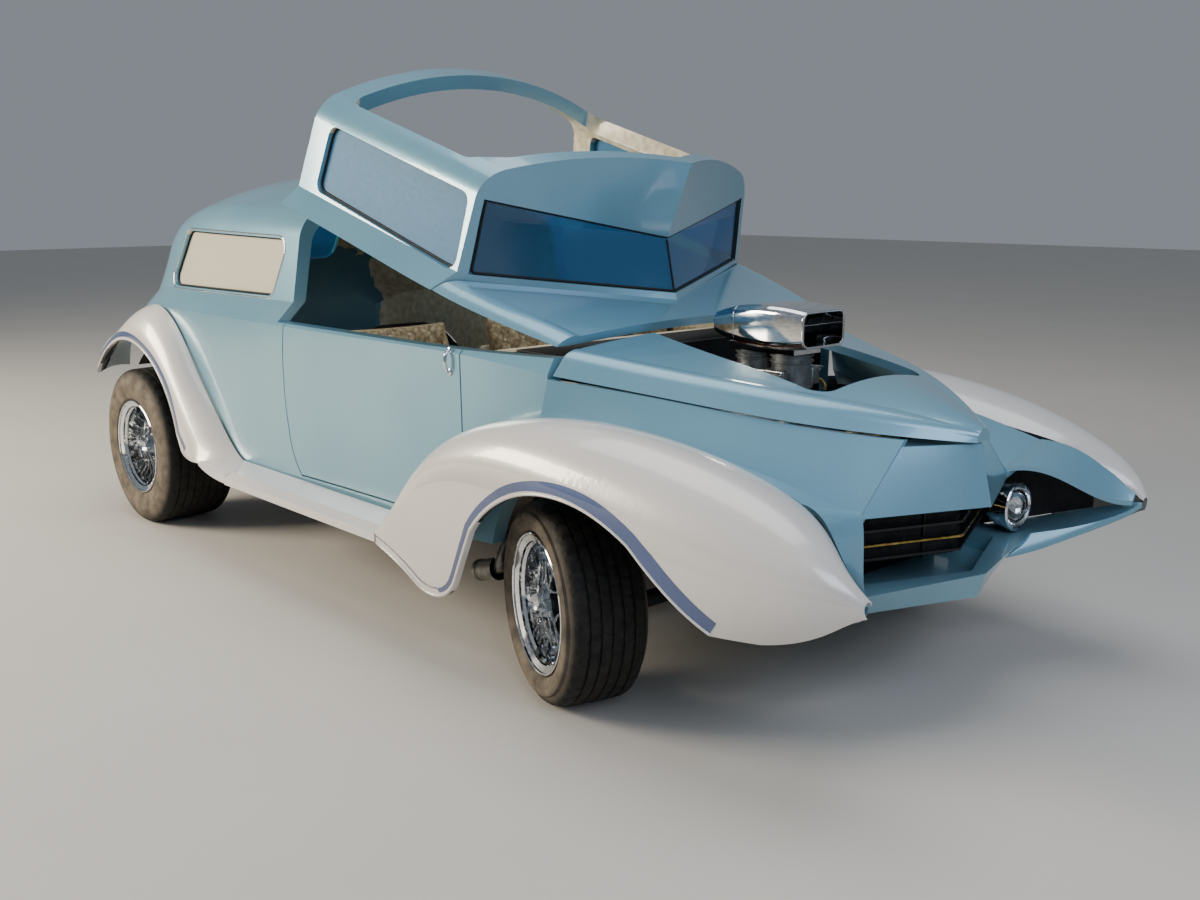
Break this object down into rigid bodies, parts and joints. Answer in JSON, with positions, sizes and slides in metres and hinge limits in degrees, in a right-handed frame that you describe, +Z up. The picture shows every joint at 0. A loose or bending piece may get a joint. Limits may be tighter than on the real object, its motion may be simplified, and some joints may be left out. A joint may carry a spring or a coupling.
{
  "type": "bubble canopy hot rod car",
  "caption": "Low show car with a flip-up canopy with open roof, closed pontoon fenders, a shark nose, open engine scoop and deep chrome wheels; canopy, hood, doors, steering and wheels move.",
  "frame": {"origin": "on the ground, under the middle of the car's box", "axes": "+X forward along the car, +Y to the car's left, +Z up"},
  "size_m": [4.2865, 1.901, 1.9434],
  "materials": {
    "body_paint": "gloss metallic",
    "fender_paint": "gloss pearl",
    "blue_plexi": "clear blue",
    "chrome": "polished",
    "tyre_rubber": "worn",
    "black_steel": "satin",
    "cast_metal": "painted casting",
    "radiator_metal": "satin",
    "pipe_steel": "dull",
    "cream_leather": "sewn",
    "dash_paint": "gloss metallic",
    "wheel_rim_grip": "gloss",
    "headlamp_glass": "clear",
    "red_lens": "gloss"
  },
  "bodies": {
    "chassis": {"air_scoop": "chrome", "back_glass": "blue_plexi", "body_shell": "body_paint", "dashboard": "dash_paint", "engine_block": "cast_metal", "exhaust_pipes": "pipe_steel", "firewall": "black_steel", "floor_pan": "black_steel", "frame": "black_steel", "front_axle": "black_steel", "front_fender_left": "fender_paint", "front_fender_right": "fender_paint", "grille_bars": "chrome", "headlight_left": "headlamp_glass", "headlight_right": "headlamp_glass", "intake": "cast_metal", "lower_pan": "body_paint", "nose_shell": "body_paint", "quarter_glass": "blue_plexi", "radiator": "radiator_metal", "rear_axle": "black_steel", "rear_fender_left": "fender_paint", "rear_fender_right": "fender_paint", "running_board_left": "fender_paint", "running_board_right": "fender_paint", "seats": "cream_leather", "steering_wheel": "wheel_rim_grip", "tail_lamps": "red_lens", "valve_covers": "chrome", "wheel_tubs": "black_steel"},
    "canopy": {"canopy_shell": "body_paint", "canopy_side_glass": "blue_plexi", "windshield": "blue_plexi"},
    "hood": {"hood": "body_paint"},
    "door_left": {"door_left": "body_paint"},
    "door_right": {"door_right": "body_paint"},
    "knuckle_left": {"knuckle_left": "black_steel"},
    "knuckle_right": {"knuckle_right": "black_steel"},
    "wheel_front_left": {"front_wheel_left": "chrome", "front_tyre_left": "tyre_rubber"},
    "wheel_front_right": {"front_wheel_right": "chrome", "front_tyre_right": "tyre_rubber"},
    "wheel_rear_left": {"rear_wheel_left": "chrome", "rear_tyre_left": "tyre_rubber"},
    "wheel_rear_right": {"rear_wheel_right": "chrome", "rear_tyre_right": "tyre_rubber"}
  },
  "joints": [
    {"name": "canopy_lift", "type": "hinge", "parent": "chassis", "child": "canopy", "pos_m": [1.047, 0, 0.995], "axis": [0, 1, 0], "range_deg": [-16, 29]},
    {"name": "hood_lift", "type": "hinge", "parent": "chassis", "child": "hood", "pos_m": [1.985, 0, 0.806], "axis": [0, 1, 0], "range_deg": [0, 50]},
    {"name": "door_left_swing", "type": "hinge", "parent": "chassis", "child": "door_left", "pos_m": [-0.492, 0.785, 0.7], "axis": [0, 0, 1], "range_deg": [0, 65]},
    {"name": "door_right_swing", "type": "hinge", "parent": "chassis", "child": "door_right", "pos_m": [-0.492, -0.785, 0.7], "axis": [0, 0, -1], "range_deg": [0, 65]},
    {"name": "steer_left", "type": "hinge", "parent": "chassis", "child": "knuckle_left", "pos_m": [1.135, 0.61, 0.303], "axis": [0, 0, 1], "range_deg": [-8, 48]},
    {"name": "steer_right", "type": "hinge", "parent": "chassis", "child": "knuckle_right", "pos_m": [1.135, -0.61, 0.303], "axis": [0, 0, 1], "range_deg": [-8, 48]},
    {"name": "wheel_front_left_spin", "type": "hinge", "parent": "knuckle_left", "child": "wheel_front_left", "pos_m": [1.17446, 0.71961, 0.303], "axis": [0.3387, 0.9409, 0], "continuous": true},
    {"name": "wheel_rear_left_spin", "type": "hinge", "parent": "chassis", "child": "wheel_rear_left", "pos_m": [-1.71, 0.7165, 0.351], "axis": [0, 1, 0], "continuous": true},
    {"name": "wheel_front_right_spin", "type": "hinge", "parent": "knuckle_right", "child": "wheel_front_right", "pos_m": [1.09554, -0.71961, 0.303], "axis": [0.3387, 0.9409, 0], "continuous": true},
    {"name": "wheel_rear_right_spin", "type": "hinge", "parent": "chassis", "child": "wheel_rear_right", "pos_m": [-1.71, -0.7165, 0.351], "axis": [0, 1, 0], "continuous": true}
  ],
  "couplings": [
    {"joint": "steer_right", "follows": "steer_left", "ratio": 1}
  ]
}
